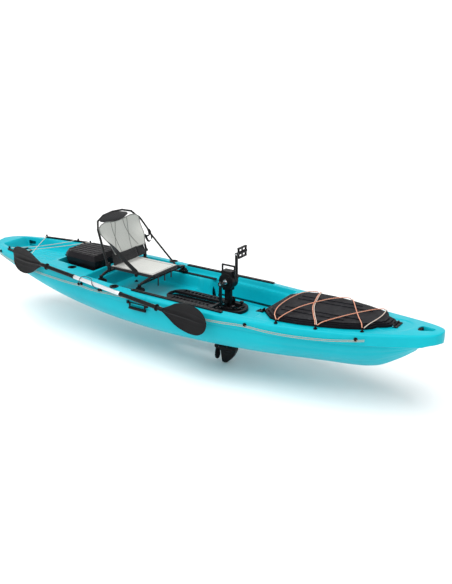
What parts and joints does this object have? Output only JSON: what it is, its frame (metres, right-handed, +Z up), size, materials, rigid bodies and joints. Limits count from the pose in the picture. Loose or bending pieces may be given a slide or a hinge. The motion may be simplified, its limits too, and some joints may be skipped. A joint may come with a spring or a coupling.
{
  "type": "pedal drive kayak",
  "caption": "Sit-on-top pedal-drive kayak: hollow hull, tilting crank drive with propeller, sliding framed seat, front hatch, rear storage box, paddle and deck fittings.",
  "frame": {"origin": "middle of the flat keel at mid-length", "axes": "+X to the bow, +Y to port, +Z up"},
  "size_m": [3.96, 0.9241, 1.0198],
  "materials": {
    "hull_teal": "moulded polyethylene, satin",
    "black_plastic": "moulded black plastic",
    "dark_plastic": "dark grey moulded plastic",
    "black_metal": "black powder coat",
    "steel": "brushed stainless",
    "bronze": "bronze",
    "rubber": "rubber",
    "seat_mesh": "light grey sling mesh",
    "black_fabric": "black woven nylon",
    "webbing": "black webbing",
    "orange_cord": "salmon braided shock cord",
    "pale_cord": "pale braided cord",
    "deck_cord": "tan and orange braided cord"
  },
  "bodies": {
    "kayak": {"hull_shell": "hull_teal", "rod_holders": "black_plastic", "gear_track_port": "black_metal", "gear_track_starboard": "black_metal", "rear_rails": "black_plastic", "seat_rails": "black_metal", "drive_well_liner": "dark_plastic", "drive_base": "black_plastic", "base_knobs": "black_plastic", "hatch_rim": "rubber", "hatch_hinge": "black_plastic", "hatch_hinge_pin": "steel", "storage_tub": "dark_plastic", "storage_hinge_pin": "steel", "pad_eyes": "black_plastic", "side_eyes": "black_plastic", "tankwell_bungee": "pale_cord", "stern_cleats": "black_plastic", "tankwell_handle": "black_plastic", "deck_line_starboard": "deck_cord", "handle_brackets": "black_plastic", "scupper_plugs": "dark_plastic", "nose_toggle": "rubber", "paddle_keeper": "webbing", "paddle": "black_plastic"},
    "drive": {"head_port_half": "black_plastic", "head_starboard_half": "black_plastic", "lift_handle": "black_metal", "leg_port_half": "black_plastic", "leg_starboard_half": "black_plastic", "axle_bearings": "steel", "shaft_bushes": "bronze", "tilt_pin": "steel"},
    "crank": {"crank_axle": "steel", "crown_gear": "steel", "crank_arm_port": "black_metal", "crank_arm_starboard": "black_metal", "pedal_spindles": "steel"},
    "pedal_left": {"pedal_port": "black_plastic"},
    "pedal_right": {"pedal_starboard": "black_plastic"},
    "vertical_shaft": {"drive_shaft": "steel", "upper_pinion": "bronze", "lower_gear": "bronze"},
    "screw": {"prop_shaft": "steel", "prop_pinion": "bronze", "propeller": "black_plastic", "prop_nut": "steel"},
    "seat": {"seat_frame": "black_metal", "seat_feet": "black_plastic", "seat_mesh": "seat_mesh", "seat_straps": "webbing"},
    "seat_back": {"back_frame": "black_metal", "back_mesh": "seat_mesh", "lumbar_panel": "black_fabric"},
    "front_hatch": {"hatch_lid": "dark_plastic", "hatch_strap": "black_plastic", "hatch_bungee": "orange_cord"},
    "storage_cover": {"storage_lid": "black_plastic"},
    "port_handle": {"carry_handle_port": "black_plastic"},
    "starboard_handle": {"carry_handle_starboard": "black_plastic"}
  },
  "joints": [
    {"name": "drive_tilt", "type": "hinge", "parent": "kayak", "child": "drive", "pos_m": [0.385, 0, 0.262], "axis": [0, 1, 0], "range_deg": [0, 70]},
    {"name": "crank_spin", "type": "hinge", "parent": "drive", "child": "crank", "pos_m": [0.385, 0, 0.421], "axis": [0, 1, 0], "continuous": true},
    {"name": "pedal_left_spin", "type": "hinge", "parent": "crank", "child": "pedal_left", "pos_m": [0.385, 0.166, 0.591], "axis": [0, 1, 0], "continuous": true},
    {"name": "pedal_right_spin", "type": "hinge", "parent": "crank", "child": "pedal_right", "pos_m": [0.385, -0.166, 0.251], "axis": [0, 1, 0], "continuous": true},
    {"name": "shaft_spin", "type": "hinge", "parent": "drive", "child": "vertical_shaft", "pos_m": [0.385, 0, 0.2], "axis": [0, 0, 1], "continuous": true},
    {"name": "screw_spin", "type": "hinge", "parent": "drive", "child": "screw", "pos_m": [0.3, 0, -0.118], "axis": [1, 0, 0], "continuous": true},
    {"name": "seat_slide", "type": "slide", "parent": "kayak", "child": "seat", "axis": [1, 0, 0], "range_m": [-0.02, 0.14]},
    {"name": "backrest_fold", "type": "hinge", "parent": "seat", "child": "seat_back", "pos_m": [-0.565, 0, 0.432], "axis": [0, 1, 0], "range_deg": [0, 88], "deforming": ["seat_straps"]},
    {"name": "front_hatch_hinge", "type": "hinge", "parent": "kayak", "child": "front_hatch", "pos_m": [1.66416, 0, 0.3746], "axis": [0, 1, 0], "range_deg": [0, 100]},
    {"name": "storage_cover_hinge", "type": "hinge", "parent": "kayak", "child": "storage_cover", "pos_m": [-1.144, 0, 0.3746], "axis": [0, -1, 0], "range_deg": [0, 100]},
    {"name": "port_handle_swing", "type": "hinge", "parent": "kayak", "child": "port_handle", "pos_m": [-0.127, 0.4212, 0.265], "axis": [1, 0, 0], "range_deg": [0, 90]},
    {"name": "starboard_handle_swing", "type": "hinge", "parent": "kayak", "child": "starboard_handle", "pos_m": [-0.127, -0.4212, 0.265], "axis": [-1, 0, 0], "range_deg": [0, 90]}
  ],
  "couplings": [
    {"joint": "shaft_spin", "follows": "crank_spin", "ratio": 4},
    {"joint": "screw_spin", "follows": "crank_spin", "ratio": 8}
  ]
}
